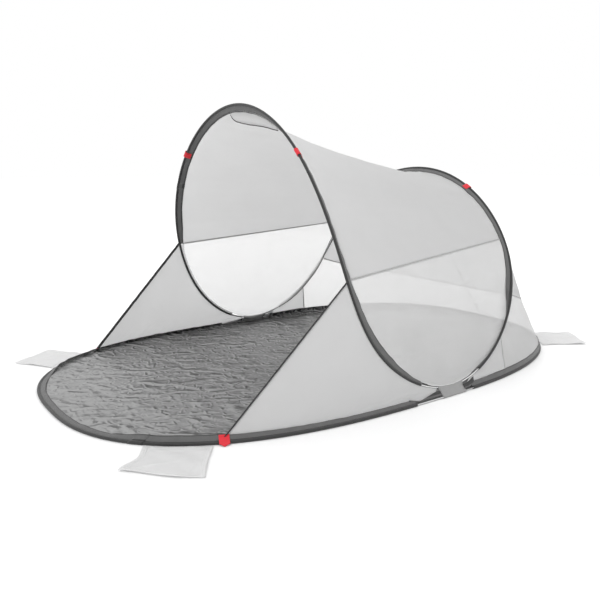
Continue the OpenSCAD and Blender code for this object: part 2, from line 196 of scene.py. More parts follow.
# ---- the two hoops ----
HOOP_KNOTS = all_round(HOOP_CONTROL) * (
    (SEMI_X + CHANNEL_R) / CONTROL_SIZE[0],
    (SEMI_Y + CHANNEL_R) / CONTROL_SIZE[1],
    ARCH_H / CONTROL_SIZE[2],
)
TAPE_KNOTS = all_round(HOOP_TAPE)


def hoop(u):
    """Points on the canopy hoop: u is 0 at the front top, 4 at the right's lowest, 8 at the rear top."""
    u = np.asarray(u, float)
    i = np.floor(u).astype(int)
    f = (u - i)[..., None]
    g = 1 - f

    def knot(k):
        return HOOP_KNOTS[(i + k) % (2 * LAST)]

    return MIDDLE + (
        g**3 * knot(-1) + (3 * f**3 - 6 * f**2 + 4) * knot(0)
        + (3 * g**3 - 6 * g**2 + 4) * knot(1) + f**3 * knot(2)
    ) / 6


def hoop_frame(u):
    """Place, and the directions of the tape, across it outwards, and along the wire."""
    u = np.asarray(u, float)
    i = np.floor(u).astype(int)
    along = unit(hoop(u + 0.02) - hoop(u - 0.02))
    tape = mix(TAPE_KNOTS[i % (2 * LAST)], TAPE_KNOTS[(i + 1) % (2 * LAST)], (u - i)[..., None])
    tape = unit(tape - dot(tape, along) * along)
    return hoop(u), tape, np.cross(along, tape), along


def ground(t, inset=0.0):
    """Points on the ground hoop. t is 0 degrees at the right and 90 at the rear."""
    a = np.radians(np.asarray(t, float))
    c, s = np.cos(a), np.sin(a)
    r = (np.abs(c)**GROUND_POWER + np.abs(s)**GROUND_POWER)**(-1 / GROUND_POWER)
    return MIDDLE + np.stack([(SEMI_X - inset) * c * r, (SEMI_Y - inset) * s * r, 0 * r + CHANNEL_R], -1)


def ground_frame(t):
    t = np.asarray(t, float)
    place = ground(t)
    along = unit(ground(t + 0.5) - ground(t - 0.5))
    outwards = np.stack([along[..., 1], -along[..., 0], 0 * t], -1)
    rise = np.radians(np.interp(place[..., 1] - MIDDLE[1], *TAPE_RISE))[..., None]
    tape = -np.cos(rise) * outwards + np.sin(rise) * np.array([0, 0, 1])
    return place, tape, np.cross(along, tape), along


def lengths(points):
    """Distance from the first point to each of a row."""
    steps = np.linalg.norm(np.diff(points, axis=0), axis=-1)
    return np.concatenate([[0], np.cumsum(steps)])


# a run is a hoop's frame, stations along it, and the length of wire up to each
HOOP_STATIONS = np.linspace(-LAST, 2 * LAST, 1500)
HOOP_RUN = (hoop_frame, HOOP_STATIONS, lengths(hoop(HOOP_STATIONS)))
GROUND_STATIONS = np.linspace(-200, 200, 1500)
GROUND_RUN = (ground_frame, GROUND_STATIONS, lengths(ground(GROUND_STATIONS)))
FLUTTER = 1.1 * MM


def flutter(travel, d):
    """How far the tape waves out of its plane at d from the wire."""
    return FLUTTER * np.clip(d / TAPE_W, 0, 1)**1.5 * wavy(travel, 0.085, 11)


def band(run, at, d, lift=0.0):
    """Points at d from the wire along the sleeve tape, and lift off its middle."""
    hoop_or_ground, stations, table = run
    d = np.broadcast_to(d, at.shape)
    place, tape, out, _ = hoop_or_ground(at)
    wave = flutter(np.interp(at, stations, table), d)
    return place + d[..., None] * tape + (wave + lift)[..., None] * out


# how much of an arch tape's width is left at stations along the right and the left side
SHOWN_RIGHT = (
    [FRONT_SLEEVE_END - 0.4, FRONT_SLEEVE_END, REAR_SLEEVE_END, REAR_SLEEVE_END + 0.5, REAR_SLEEVE_END + 1.2],
    [1, 0.3, 0.25, 0.35, 1],
)
SHOWN_LEFT = (
    [WINDOW_TOP_FRONT - 0.2, WINDOW_TOP_FRONT + 0.1, REAR_SLEEVE_END, WINDOW_TOP_REAR + 0.2,
     WINDOW_TOP_REAR + 0.7],
    [1, 0.3, 0.25, 0.3, 1],
)


def narrowed(u, d):
    """The arch sleeves' tapes narrow towards their ends, and whatever is sewn to them follows.

    On the left they are turned under along the whole window.
    """
    v = (np.asarray(u) + LAST) % (2 * LAST) - LAST
    share = np.where(v < 0, np.interp(-v, *SHOWN_LEFT), np.interp(v, *SHOWN_RIGHT))
    return np.where(d > CHANNEL_R, CHANNEL_R + (d - CHANNEL_R) * share, d)


def hoop_band(u, d, lift=0.0):
    return band(HOOP_RUN, np.asarray(u, float), narrowed(u, d), lift)


def ground_band(t, d, lift=0.0):
    return band(GROUND_RUN, np.asarray(t, float), d, lift)


def front_u(side, u):
    return side * np.asarray(u, float)


def rear_u(side, u):
    return LAST + side * (np.asarray(u, float) - LAST)


def side_t(side, t):
    return np.asarray(t, float) if side > 0 else 180 - np.asarray(t, float)


# ---- meshes from grids of points ----
def new_mesh(name, points, faces, material, uv=None):
    """faces is an array with one row of corners per face, or a list of such arrays."""
    blocks = faces if isinstance(faces, list) else [faces]
    points = np.asarray(points, np.float32).reshape(-1, 3)
    corners = np.concatenate([b.ravel() for b in blocks])
    sizes = np.concatenate([np.full(len(b), b.shape[1]) for b in blocks])
    mesh = bpy.data.meshes.new(name)
    mesh.vertices.add(len(points))
    mesh.vertices.foreach_set("co", points.ravel())
    mesh.loops.add(len(corners))
    mesh.loops.foreach_set("vertex_index", corners.astype(np.int32))
    mesh.polygons.add(len(sizes))
    mesh.polygons.foreach_set("loop_start", (np.cumsum(sizes) - sizes).astype(np.int32))
    mesh.polygons.foreach_set("loop_total", sizes.astype(np.int32))
    mesh.polygons.foreach_set("use_smooth", np.ones(len(sizes), bool))
    if uv is not None:
        layer = mesh.uv_layers.new(name="cloth")
        layer.data.foreach_set("uv", np.asarray(uv, np.float32).reshape(-1, 2)[corners].ravel())
    mesh.update(calc_edges=True)
    mesh.validate()
    mesh.materials.append(material)
    piece = bpy.data.objects.new(name, mesh)
    bpy.context.collection.objects.link(piece)
    return piece


def grid_faces(rows, cols, closed=False, flip=False):
    i = np.arange(rows - 1)[:, None]
    j = np.arange(cols if closed else cols - 1)[None, :]
    k = (j + 1) % cols
    quads = np.stack([i * cols + j, i * cols + k, (i + 1) * cols + k, (i + 1) * cols + j], -1)
    quads = quads.reshape(-1, 4)
    return quads[:, ::-1] if flip else quads


def grid_uv(grid):
    """Distances over the cloth, in metres, for its weave."""
    down = np.cumsum(np.linalg.norm(np.diff(grid, axis=0, prepend=grid[:1]), axis=-1), axis=0)
    over = np.cumsum(np.linalg.norm(np.diff(grid, axis=1, prepend=grid[:, :1]), axis=-1), axis=1)
    return np.stack([over, down], -1)


def over_and_down(grid):
    """The same distances, as one array for each direction."""
    return np.moveaxis(grid_uv(grid), -1, 0)


def rings_uv(rings):
    """Distances over a row of closed rings."""
    return grid_uv(np.concatenate([rings, rings[:, :1]], axis=1))[:, :-1]


def normals(grid):
    return unit(np.cross(np.gradient(grid, axis=0), np.gradient(grid, axis=1)) + 1e-12)


def thicken(piece, thickness, offset=0):
    solid = piece.modifiers.new("thickness", "SOLIDIFY")
    solid.thickness = thickness
    solid.offset = offset
    return piece


def cloth(name, grid, thickness, material, flip=False):
    """A sheet of even thickness over a grid of points."""
    piece = new_mesh(name, grid, grid_faces(*grid.shape[:2], flip=flip), material, grid_uv(grid))
    return thicken(piece, thickness)


def panel(name, grid, relief, thickness, material, facing=1):
    """A sheet whose points stand off the even surface of grid by relief."""
    grid = grid + facing * normals(grid) * relief[..., None]
    return cloth(name, grid, thickness, material, flip=facing < 0)


def tube(name, rings, material):
    """A skin over a row of closed rings, with a face at each end."""
    n, m = rings.shape[:2]
    j = np.arange(m)
    faces = [grid_faces(n, m, closed=True, flip=True), j[None, :], ((n - 1) * m + j[::-1])[None, :]]
    return new_mesh(name, rings, faces, material, rings_uv(rings))


STITCH_PITCH = 5 * MM
STITCH_L = 3.4 * MM
THREAD_R = 0.4 * MM


def stitches(name, rows, material, host):
    """Rows of thread stitches. Each row is its points, and the direction out of the cloth.

    host is the body that they ride on, or the piece that they follow over the fold.
    """
    points, faces = [], []
    # a bead has two ends and four corners between them
    bead = np.array([(0, k, k % 4 + 1) for k in (1, 2, 3, 4)] + [(5, k % 4 + 1, k) for k in (1, 2, 3, 4)])
    for path, outwards in rows:
        outwards = np.broadcast_to(outwards, path.shape)
        travel = lengths(path)
        starts = np.arange(STITCH_PITCH, travel[-1] - STITCH_PITCH, STITCH_PITCH)

        def at(where, values):
            return np.stack([np.interp(where, travel, values[:, k]) for k in range(3)], -1)

        a, b = at(starts, path), at(starts + STITCH_L, path)
        up = unit(at(starts, outwards))
        side = np.cross(unit(b - a), up) * THREAD_R
        middle = (a + b) / 2 + up * THREAD_R * 0.4
        first = sum(len(p) for p in points)
        ring = [a, middle + side, middle + up * THREAD_R, middle - side, middle - up * THREAD_R, b]
        points.append(np.stack(ring, 1).reshape(-1, 3))
        faces.append((first + 6 * np.arange(len(starts))[:, None, None] + bead).reshape(-1, 3))
    thread = new_mesh(name, np.concatenate(points), np.concatenate(faces), material)
    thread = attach(thread, host) if isinstance(host, str) else follow(thread, host)
    return thread


# ---- what each piece follows ----
def set_weights(piece, weights=None):
    """0 follows the rear half, 1 the front half, and between them the piece bends over the fold."""
    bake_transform(piece, "rear_half", "front_half", start=(0, FOLD[1] + 0.06, 0), end=(0, FOLD[1] - 0.06, 0))
    if weights is not None:
        values = np.asarray(weights, np.float32).ravel()
        piece.data.attributes["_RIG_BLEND"].data.foreach_set("value", values)
    return piece


def follow(piece, other):
    """piece bends with the nearest point of other, which bends over the fold."""
    tree = kdtree.KDTree(len(other.data.vertices))
    for v in other.data.vertices:
        tree.insert(v.co, v.index)
    tree.balance()
    source = other.data.attributes["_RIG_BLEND"].data
    return set_weights(piece, [source[tree.find(v.co)[1]].value for v in piece.data.vertices])


# ---- materials ----
# bands of the wave texture in one unit at a scale of 1
BANDS = 3.18


class Nodes:
    """A material's node tree, built one node at a time."""

    def __init__(self, name):
        self.material = bpy.data.materials.new(name)
        self.material.use_nodes = True
        self.tree = self.material.node_tree
        self.tree.nodes.clear()

    def add(self, kind, inputs=None, output=0, **settings):
        node = self.tree.nodes.new("ShaderNode" + kind)
        for key, value in settings.items():
            setattr(node, key, value)
        for key, value in (inputs or {}).items():
            if isinstance(value, bpy.types.NodeSocket):
                self.tree.links.new(value, node.inputs[key])
            else:
                node.inputs[key].default_value = value
        return node.outputs[output]

    def maths(self, operation, a, b=0.0):
        return self.add("Math", {0: a, 1: b}, operation=operation)

    def mixed(self, a, b, of_a):
        """a and b added together in shares of 1."""
        return self.maths("ADD", self.maths("MULTIPLY", a, of_a), self.maths("MULTIPLY", b, 1 - of_a))

    def scaled(self, value, low, high, start=0.0, end=1.0):
        """A value from start to end spread from low to high."""
        return self.add("MapRange", {
            "Value": value, "From Min": start, "From Max": end, "To Min": low, "To Max": high,
        })

    def tint(self, share, dark, light):
        return self.add("Mix", {0: share, 6: (*dark, 1), 7: (*light, 1)}, output=2, data_type="RGBA")

    def noise(self, scale, detail=3.0, where=None, roughness=0.5, distortion=0.0, kind="FBM"):
        return self.add("TexNoise", {
            "Vector": where or self.add("TexCoord", output="Object"), "Scale": scale, "Detail": detail,
            "Roughness": roughness, "Distortion": distortion,
        }, noise_type=kind)

    def cloth_place(self):
        return self.add("UVMap", uv_map="cloth")

    def threads(self, pitch, direction):
        """Bands across the cloth, one per thread."""
        inputs = {"Vector": self.cloth_place(), "Scale": 1 / pitch / BANDS, "Distortion": 0.4, "Detail": 1.0}
        return self.add("TexWave", inputs, output=1, wave_type="BANDS", bands_direction=direction)

    def bump(self, height, distance, strength=0.5, normal=None):
        inputs = {"Height": height, "Distance": distance, "Strength": strength}
        if normal:
            inputs["Normal"] = normal
        return self.add("Bump", inputs)

    def principled(self, colour, roughness, normal, metallic=0.0, specular=0.5, sheen=(0.0, 0.5)):
        """sheen is its weight and its roughness."""
        return self.add("BsdfPrincipled", {
            "Base Color": colour, "Roughness": roughness, "Normal": normal, "Metallic": metallic,
            "Specular IOR Level": specular, "Sheen Weight": sheen[0], "Sheen Roughness": sheen[1],
        })

    def finish(self, shader):
        out = self.tree.nodes.new("ShaderNodeOutputMaterial")
        self.tree.links.new(shader, out.inputs["Surface"])
        return self.material


def grey(value):
    return (value, value, value)


def woven(name, dark, light, pitch=1.2 * MM, through=0.0, roughness=0.75, sheen=0.15, mottle=9.0,
          depth=0.2 * MM):
    """A plain-woven cloth, mottled from dark to light. through is how much light it lets in."""
    n = Nodes(name)
    weave = n.maths("MULTIPLY", n.threads(pitch, "X"), n.threads(pitch, "Y"))
    patch = n.noise(mottle, 4)
    colour = n.tint(n.mixed(weave, patch, 0.35), dark, light)
    rumple = n.bump(n.noise(14, 5, roughness=0.6), 3 * MM, 0.25)
    normal = n.bump(weave, depth, 0.5, rumple)
    shader = n.principled(colour, n.scaled(patch, roughness - 0.1, roughness + 0.1), normal,
                          specular=0.35, sheen=(sheen, 0.4))
    if through:
        soft = n.add("BsdfTranslucent", {"Color": colour, "Normal": normal})
        shader = n.add("MixShader", {0: through, 1: shader, 2: soft})
    return n.finish(shader)


def ribbed(name, dark, light, pitch, depth, roughness=0.7, edge=None):
    """A binding tape or webbing with ribs across it. edge is the colour of painted shade on a sleeve's
    channel round the wire and on its edges.
    """
    n = Nodes(name)
    ribs, yarn = n.threads(pitch, "Y"), n.threads(pitch / 3, "X")
    wear = n.noise(40, 4)
    colour = n.tint(n.mixed(ribs, wear, 0.5), dark, light)
    if edge:
        # painted shade: the channel round the wire and the tape's edges take the darker edge colour
        over = n.add("SeparateXYZ", {"Vector": n.cloth_place()})
        off = n.maths("ABSOLUTE", n.maths("SUBTRACT", over, CHANNEL_MIDDLE))
        off_channel = n.scaled(off, 0, 1, 14 * MM, 16 * MM)
        off_edge = n.scaled(off, 1, 0, 31 * MM, 33 * MM)
        body = n.maths("MULTIPLY", off_channel, off_edge)
        colour = n.add("Mix", {0: body, 6: (*edge, 1), 7: colour}, output=2, data_type="RGBA")
    normal = n.bump(ribs, depth, 0.7, n.bump(yarn, depth / 3, 0.5))
    return n.finish(n.principled(colour, n.scaled(wear, roughness - 0.12, roughness + 0.12), normal,
                                 specular=0.3, sheen=(0.2, 0.5)))


def net(name, colour, cover, pitch):
    """Fine insect mesh: threads with gaps between them that show what is behind."""
    n = Nodes(name)
    threads = n.maths("MAXIMUM", n.threads(pitch, "X"), n.threads(pitch, "Y"))
    patch = n.noise(6, 3)
    share = n.maths("ADD", n.scaled(threads, cover - 0.08, cover + 0.05), n.scaled(patch, -0.03, 0.03))
    normal = n.bump(threads, 0.2 * MM, 0.4, n.bump(n.noise(9, 4), 3 * MM, 0.2))
    solid = n.principled(n.tint(patch, tuple(0.94 * c for c in colour), colour), 0.8, normal,
                         sheen=(0.1, 0.5))
    soft = n.add("BsdfTranslucent", {"Color": (*colour, 1)})
    solid = n.add("MixShader", {0: 0.5, 1: solid, 2: soft})
    return n.finish(n.add("MixShader", {0: share, 1: n.add("BsdfTransparent"), 2: solid}))


def foil(name, dark, light):
    """The floor's silver coated sheet. Its crinkles carry painted light and shade: each face is painted
    bright or dark by the way it leans.
    """
    n = Nodes(name)
    place = n.add("TexCoord", output="Object")
    patch = n.noise(3.2, 4)
    # most of its creases run the way it was coiled
    turned = n.add("Mapping", {"Vector": place, "Rotation": (0, 0, -0.95)})
    coiled = n.add("Mapping", {"Vector": turned, "Scale": (0.6, 1, 1)})
    folds = n.noise(13, 4, coiled, distortion=0.9, kind="RIDGED_MULTIFRACTAL")
    fine = n.noise(34, 3, place, distortion=0.6, kind="RIDGED_MULTIFRACTAL")
    creased = n.bump(n.mixed(folds, fine, 0.65), 16 * MM, 1.0)
    normal = n.bump(n.noise(900, 2), 0.15 * MM, 0.3, creased)
    # painted light and shade: how far the bumped normal leans towards a fixed direction sets the colour
    tilt = n.add("VectorMath", {0: normal, 1: n.add("NewGeometry", output=1)}, operation="SUBTRACT")
    lean = n.add("VectorMath", {0: tilt, 1: (0.5, -0.75, 0.0)}, output=1, operation="DOT_PRODUCT")
    shade = n.scaled(lean, 0, 1, -0.14, 0.14)
    # painted shade makes it darker under the gussets, and painted sheen makes it paler at the entrance
    side, front = (n.add("SeparateXYZ", {"Vector": place}, output=k) for k in (0, 1))
    edge = n.scaled(n.maths("ABSOLUTE", side), 0, -0.24, 0.38, 0.6)
    entrance = n.scaled(front, 0, 0.36, -0.35, -0.95)
    for part in (edge, entrance, n.scaled(patch, -0.1, 0.1)):
        shade = n.maths("ADD", shade, part)
    return n.finish(n.principled(n.tint(shade, dark, light), n.scaled(patch, 0.3, 0.45), normal,
                                 metallic=0.35))


def coated_wire(name, colour):
    n = Nodes(name)
    marks = n.noise(300, 3)
    return n.finish(n.principled(n.tint(marks, tuple(0.86 * c for c in colour), colour),
                                 n.scaled(marks, 0.25, 0.4), n.bump(marks, 0.05 * MM, 0.4), metallic=0.2))


def aluminium(name):
    n = Nodes(name)
    drawn = n.noise(500, 2)
    return n.finish(n.principled(n.tint(drawn, grey(0.5), grey(0.68)), n.scaled(drawn, 0.3, 0.45),
                                 n.bump(drawn, 0.05 * MM, 0.3), metallic=1.0))


# where the middle of the wire's channel lies over a sleeve's outline, from the tape's edge
CHANNEL_MIDDLE = 35 * MM
CANOPY = woven("canopy_cloth", grey(0.84), grey(0.89), through=0.65)
FLAP = woven("flap_cloth", grey(0.84), grey(0.9), through=0.35, roughness=0.65, mottle=22)
NET = net("mesh_net", grey(0.93), 0.5, 1.6 * MM)
# its edge colour is painted shade on the channel round the wire and on the tape's edges
SLEEVE = ribbed("sleeve_tape", grey(0.07), grey(0.15), 2.2 * MM, 0.25 * MM, edge=grey(0.035))
TRIM = ribbed("trim_tape", grey(0.015), grey(0.035), 1.6 * MM, 0.2 * MM)
SEAM = ribbed("seam_tape", grey(0.36), grey(0.45), 1.4 * MM, 0.15 * MM)
HEM = ribbed("window_hem_tape", grey(0.66), grey(0.76), 1.4 * MM, 0.15 * MM)
WRAP = woven("wrap_webbing", grey(0.3), grey(0.6), pitch=1.8 * MM, through=0.3, sheen=0.3, mottle=220,
             depth=0.5 * MM)
RED = ribbed("red_webbing", (0.55, 0.012, 0.02), (0.8, 0.03, 0.05), 2.4 * MM, 0.35 * MM, roughness=0.6)
FLOOR = foil("floor_foil", grey(0.015), grey(0.31))
FACING = ribbed("facing_tape", grey(0.86), grey(0.93), 1.4 * MM, 0.15 * MM)
THREAD = woven("grey_thread", grey(0.16), grey(0.24), pitch=0.4 * MM, mottle=300)
LIGHT_THREAD = woven("light_thread", grey(0.5), grey(0.62), pitch=0.4 * MM, mottle=300)
RED_THREAD = woven("red_thread", (0.4, 0.01, 0.015), (0.5, 0.02, 0.03), pitch=0.4 * MM, mottle=300)
WIRE = coated_wire("coated_wire", grey(0.85))
FERRULE = aluminium("ferrule_metal")


# ---- wires and ferrules ----
def closed_wire(name, run, at):
    place, tape, out, _ = run(at)
    angle = np.linspace(0, 2 * np.pi, 12, endpoint=False)[None, :, None]
    rings = place[:, None] + WIRE_R * (np.cos(angle) * tape[:, None] + np.sin(angle) * out[:, None])
    n, m = rings.shape[:2]
    faces = grid_faces(n + 1, m, closed=True, flip=True) % (n * m)
    return set_weights(new_mesh(name, rings, faces, WIRE))


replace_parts(closed_wire("ground_wire", ground_frame, np.linspace(-180, 180, 400, endpoint=False)),
            "ground_hoop_front", "ground_hoop_rear")
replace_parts(closed_wire("canopy_wire", hoop_frame, np.linspace(0, 16, 480, endpoint=False)),
            "canopy_hoop_front", "canopy_hoop_rear")
for ferrule in ("ground_hoop_ferrule", "canopy_hoop_ferrule"):
    frame["nodes"][ferrule].data.materials.clear()
    frame["nodes"][ferrule].data.materials.append(FERRULE)


# ---- sleeves: a tape folded round the wire and stitched twice ----
BAND_OUTLINE = np.array([
    (27, 0.9), (26.2, 1.3), (25, 1.35), (23.5, 0.95), (22, 1.4), (19, 1.6), (15.5, 1.65), (12, 1.6),
    (9.8, 1.45), (8.6, 1.3), (7.4, 1.0), (6, 1.3),
]) * MM
STITCH_AT = ((23.5 * MM, 1.0 * MM), (7.4 * MM, 1.05 * MM))


def sleeve_outline():
    """The folded tape's section, as (along the tape, across it): its outer face, then its inner."""
    turn = np.radians(np.linspace(18, 342, 16))
    bend = np.stack([np.cos(turn), np.sin(turn)], -1)
    under = BAND_OUTLINE[::-1] * (1, -1)
    thin = np.array([0, PLY])
    outer = np.concatenate([BAND_OUTLINE, CHANNEL_R * bend, under])
    inner = np.concatenate([BAND_OUTLINE - thin, (CHANNEL_R - PLY) * bend, under + thin])
    return outer, inner


# the cut edge wanders, and the outer stitches follow it
WANDER = 0.022


def sleeve(name, run, first, last, body, node):
    hoop_or_ground, stations, table = run
    at = np.interp(np.arange(*np.interp([first, last], stations, table), 9 * MM), table, stations)
    at = np.append(at, last)
    travel = np.interp(at, stations, table)
    outer, inner = sleeve_outline()
    outline = np.concatenate([outer, inner[::-1]])
    place, tape, out, _ = hoop_or_ground(at)
    # the cloth gathers a little between the two rows of stitches
    x, y = outline[None, :, 0], outline[None, :, 1]
    puff = 1 + 0.16 * np.sin(np.pi * np.clip((x - 8 * MM) / (15 * MM), 0, 1)) * wavy(travel, 0.03, 5)[:, None]
    wander = 1 + WANDER * wavy(travel, 0.12, 7)
    reach = np.where(x > CHANNEL_R, x * wander[:, None], x)
    if run is HOOP_RUN:
        reach = narrowed(at[:, None], reach)
    rise = y * puff + flutter(travel[:, None], x)
    rings = place[:, None] + reach[..., None] * tape[:, None] + rise[..., None] * out[:, None]
    n, m = rings.shape[:2]
    j = np.arange(m // 2 - 1)
    cap = np.stack([j, j + 1, m - 2 - j, m - 1 - j], -1)
    faces = [grid_faces(n, m, closed=True, flip=True), cap, cap[:, ::-1] + (n - 1) * m]
    uv = np.stack(np.broadcast_arrays(lengths(outline)[None, :], travel[:, None]), -1)
    piece = new_mesh(name, rings, faces, SLEEVE, uv)
    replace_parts(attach(piece, body), node)
    rows = []
    for d, lift in STITCH_AT:
        line = d * wander
        if run is HOOP_RUN:
            line = narrowed(at, line)
        for face in (1, -1):
            path = place + line[:, None] * tape + (face * lift + flutter(travel, d))[:, None] * out
            rows.append((path, face * out))
    stitches(name + "_stitches", rows, THREAD, body)


sleeve("ground_sleeve_front_tape", GROUND_RUN, -180 - GAP_FRONT, GAP_FRONT, "front_half",
       "ground_sleeve_front")
sleeve("ground_sleeve_rear_tape", GROUND_RUN, GAP_REAR, 180 - GAP_REAR, "rear_half", "ground_sleeve_rear")
sleeve("front_arch_tape", HOOP_RUN, -FRONT_SLEEVE_END, FRONT_SLEEVE_END, "front_half", "front_arch_sleeve")
sleeve("rear_arch_tape", HOOP_RUN, REAR_SLEEVE_END, 2 * LAST - REAR_SLEEVE_END, "rear_half",
       "rear_arch_sleeve")


def sleeve_joint(name, run, at, turn, body):
    """A short second layer where the two ends of a sleeve's tape overlap."""
    u = at + np.linspace(-0.5, 0.5, 8) * turn
    place, tape, out, _ = run(u)
    outer = sleeve_outline()[0]
    shape = outer + unit(outer * (0.15, 1)) * 0.7 * MM
    grid = place[:, None] + shape[:, :1] * tape[:, None] + shape[:, 1:] * out[:, None]
    # its ends are cut askew
    skew = 0.35 * turn * (outer[:, 0] / TAPE_W)
    step = (run(u + turn / 2)[0] - run(u - turn / 2)[0])[:, None] / turn
    piece = cloth(name, grid + skew[None, :, None] * step, 0.6 * MM, SLEEVE, flip=True)
    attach(piece, body)


sleeve_joint("front_arch_joint", hoop_frame, -1.58, 0.06, "front_half")
sleeve_joint("ground_sleeve_joint", ground_frame, -55.0, 3.0, "front_half")


def inner_binding(name, run, at, towards):
    """A dark tape round the inner side of a wire where its sleeve is open. towards is 0 along the tape."""
    place, tape, out, _ = run(at)
    angle = (towards + np.radians(np.linspace(-95, 95, 9)))[None, :, None]
    around = np.cos(angle) * tape[:, None] + np.sin(angle) * out[:, None]
    piece = cloth(name, place[:, None] + (WIRE_R + 1.0 * MM) * around, 0.7 * MM, SLEEVE, flip=True)
    set_weights(piece)


for name, side in SIDES.items():
    gap = np.linspace(FRONT_SLEEVE_END - 0.03, REAR_SLEEVE_END + 0.03, 50)
    gap = gap if side > 0 else 2 * LAST - gap
    inner_binding("canopy_wire_binding_" + name, hoop_frame, gap, math.radians(-90))
    gap = side_t(side, np.linspace(GAP_FRONT - 0.5, GAP_REAR + 0.5, 50))
    inner_binding("ground_wire_binding_" + name, ground_frame, gap, 0.0)


# ---- side wraps ----
def ground_at(y):
    """Point on the ground hoop's right side at this y."""
    q = np.abs(y - MIDDLE[1]) / SEMI_Y
    return np.stack([SEMI_X * (1 - q**GROUND_POWER)**(1 / GROUND_POWER), y, 0 * y + CHANNEL_R], -1)


def hoop_at(y):
    """Point on the canopy hoop's right side at this y, near its lowest point."""
    u = np.linspace(3.3, 4.7, 200)
    return hoop(np.interp(y, hoop(u)[:, 1], u))


WRAP_ARC = 12


def side_wrap(side, name):
    low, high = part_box("side_wrap_" + name)
    y = np.linspace(low.y, high.y, 45)
    foot, top = ground_at(y), hoop_at(y)
    lean = np.arctan2(top[:, 0] - foot[:, 0], top[:, 2] - foot[:, 2])
    rings = []
    for centre, start in ((top, -90), (foot, 90)):
        angle = lean[:, None] + np.radians(start + np.linspace(0, 180, WRAP_ARC))[None, :]
        around = np.stack([np.sin(angle), 0 * angle, np.cos(angle)], -1)
        rings.append(centre[:, None] + CHANNEL_R * around)
    over, under = rings
    # more rows of points on the two flat sides, between the wires
    steps = (0.2, 0.4, 0.6, 0.8)
    outer = [mix(over[:, -1:], under[:, :1], f) for f in steps]
    inner = [mix(under[:, -1:], over[:, :1], f) for f in steps]
    rings = np.concatenate([over, *outer, under, *inner], axis=1)
    # its ends are sewn flat between the two wires
    across = np.stack([np.cos(lean), 0 * lean, -np.sin(lean)], -1)[:, None]
    up = unit(top - foot)[:, None]
    from_wire = np.minimum(dot(rings - foot[:, None], up), dot(top[:, None] - rings, up))[..., 0]
    end = smooth(np.abs(y - y.mean()), 0.03, 0.05)[:, None]
    flatten = 0.82 * end * smooth(from_wire, 0.5 * MM, 4 * MM)
    rings = rings - flatten[..., None] * dot(rings - foot[:, None], across) * across
    outwards = unit(rings - rings.mean(1, keepdims=True))
    dent = rolling(rings[..., 1], rings[..., 2], 0.03, 40 + side) * 0.5 * MM * (1 - end)
    rings = rings + outwards * dent[..., None]
    rings[..., 0] *= side
    faces = grid_faces(*rings.shape[:2], closed=True, flip=side < 0)
    piece = new_mesh(f"side_wrap_{name}_band", rings, faces, WRAP, rings_uv(rings))
    thicken(piece, 1.0 * MM, -1)
    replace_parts(set_weights(piece), "side_wrap_" + name)
    away = np.array([side, 0, 0.2])
    across_flat = slice(WRAP_ARC - 1, WRAP_ARC + len(steps) + 1)
    rows = [(rings[end, across_flat] + away * 0.3 * MM, away) for end in (2, -3)]
    stitches(f"side_wrap_{name}_stitches", rows, THREAD, piece)


for name, side in SIDES.items():
    side_wrap(side, name)


# ---- canopy ----
def canopy_surface(s, f):
    """s runs from -1, left, to 1, right, and f from 0, front arch, to 1, rear arch."""
    front = hoop_band(s * WINDOW_TOP_FRONT, TUCK)
    rear = hoop_band(LAST - s * (LAST - WINDOW_TOP_REAR), TUCK)
    f = np.asarray(f)
    grid = mix(front[:, None], rear[:, None], f[None, :, None])
    sag = CANOPY_SAG * np.sqrt(4 * f * (1 - f))[None, :] * np.cos(np.pi / 2 * s)[:, None]
    grid[..., 2] -= sag
    return grid


def pucker(distance, travel, height, wavelength, reach, seed):
    """Small gathers that die away from a seam. distance is from the seam and travel along it."""
    return height * np.exp(-distance / reach) * wavy(travel, wavelength, seed)


def canopy():
    s, f = np.linspace(-1, 1, 190), np.linspace(0, 1, 96)
    grid = canopy_surface(s, f)
    x, y = over_and_down(grid)
    rim = smooth(np.minimum(x, x[:, -1:] - x), 0.005, 0.06) * smooth(1 - np.abs(s), 0, 0.06)[:, None]
    shape = 2.2 * MM * rolling(x, y, 0.34, 3, stretch=2.2) + 0.8 * MM * rolling(x, y, 0.12, 4, stretch=1.6)
    gather = pucker(x, y, 1.3 * MM, 0.045, 0.05, 21) + pucker(x[:, -1:] - x, y, 1.1 * MM, 0.04, 0.05, 22)
    relief = shape * rim + gather * smooth(rim, 0, 0.3)
    piece = panel("canopy_sheet", grid, -relief, 0.7 * MM, CANOPY)
    set_weights(piece, np.broadcast_to(1 - f, grid.shape[:2]))
    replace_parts(piece, "canopy")
    return piece


canopy_sheet = canopy()


